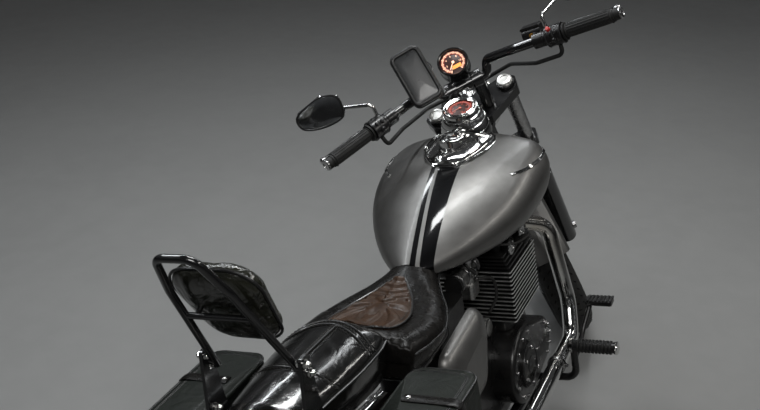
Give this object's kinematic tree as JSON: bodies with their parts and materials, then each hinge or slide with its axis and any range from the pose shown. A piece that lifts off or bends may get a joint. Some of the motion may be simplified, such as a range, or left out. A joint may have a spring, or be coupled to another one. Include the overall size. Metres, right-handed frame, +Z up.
{
  "type": "cruiser motorcycle",
  "caption": "Cruiser motorcycle on its side stand: air-cooled upright twin, raked fork, teardrop tank, saddlebags with lids and a tall padded backrest.",
  "frame": {"origin": "on the floor, under the middle of the overall box", "axes": "+X forward along the bike's wheelbase, +Y to the rider's left, +Z up; the bike leans to +Y on its side stand"},
  "size_m": [2.3225, 0.8516, 1.32],
  "materials": {
    "black_paint": "gloss",
    "silver_paint": "satin metallic",
    "chrome": "polished",
    "engine_black": "satin",
    "bright_alloy": "machined",
    "brushed_disc": "brushed",
    "steel": "plain",
    "tyre": "matt",
    "rubber": "matt",
    "seat_leather": "grained",
    "bag_leather": "grained",
    "black_plastic": "textured",
    "lamp": "clear coloured lens"
  },
  "bodies": {
    "frame": {"main_frame": "black_paint", "swingarm": "black_paint", "shocks": "chrome", "crankcase": "engine_black", "engine_covers": "engine_black", "cylinders": "engine_black", "cylinder_head": "engine_black", "intake": "bright_alloy", "headers": "chrome", "silencers": "chrome", "side_covers": "silver_paint", "fuel_tank": "silver_paint", "tank_console": "chrome", "rider_seat": "seat_leather", "pillion_seat": "seat_leather", "rear_fender": "black_paint", "rear_lamps": "lamp", "sissy_bar": "black_paint", "backrest_pad": "seat_leather", "saddlebag_left": "bag_leather", "saddlebag_right": "bag_leather", "footpegs": "rubber", "foot_controls": "black_paint", "chain": "steel", "chain_guard": "black_plastic", "rear_axle": "steel", "rear_caliper": "engine_black"},
    "lid_left": {"bag_lid_left": "bag_leather"},
    "lid_right": {"bag_lid_right": "bag_leather"},
    "side_stand_leg": {"side_stand": "black_paint"},
    "rear_wheel": {"rear_tyre": "tyre", "rear_rim": "bright_alloy", "rear_discs": "brushed_disc"},
    "front_wheel": {"front_tyre": "tyre", "front_rim": "bright_alloy", "front_disc": "brushed_disc"},
    "fork": {"front_axle": "steel", "fork_tubes": "chrome", "fork_sliders": "black_paint", "yokes": "black_paint", "handlebar": "black_paint", "grips": "rubber", "hand_controls": "black_plastic", "mirrors": "chrome", "headlamp": "black_paint", "speedometer": "black_plastic", "phone_holder": "black_plastic", "front_fender": "black_paint", "front_caliper": "engine_black", "cables": "rubber"}
  },
  "joints": [
    {"name": "steering", "type": "hinge", "parent": "frame", "child": "fork", "pos_m": [0.51467, 0.02605, 0.77361], "axis": [-0.5371, 0.1537, 0.8294], "range_deg": [-68, 0]},
    {"name": "front_wheel_spin", "type": "hinge", "parent": "fork", "child": "front_wheel", "pos_m": [0.87069, -0.03463, 0.29409], "axis": [-0.4717, 0.7604, -0.4464], "continuous": true},
    {"name": "rear_wheel_spin", "type": "hinge", "parent": "frame", "child": "rear_wheel", "pos_m": [-0.77706, -0.05763, 0.32206], "axis": [0, 0.9833, -0.1822], "continuous": true},
    {"name": "stand_fold", "type": "hinge", "parent": "frame", "child": "side_stand_leg", "pos_m": [-0.07817, 0.07453, 0.16817], "axis": [0.0659, 0.8283, 0.5564], "range_deg": [0, 108.64]},
    {"name": "bag_lid_left_hinge", "type": "hinge", "parent": "frame", "child": "lid_left", "pos_m": [-0.77379, 0.17636, 0.65173], "axis": [1, -0.0016, -0.0088], "range_deg": [0, 100]},
    {"name": "bag_lid_right_hinge", "type": "hinge", "parent": "frame", "child": "lid_right", "pos_m": [-0.77379, -0.15795, 0.71369], "axis": [-1, 0.0016, 0.0088], "range_deg": [0, 100]}
  ]
}
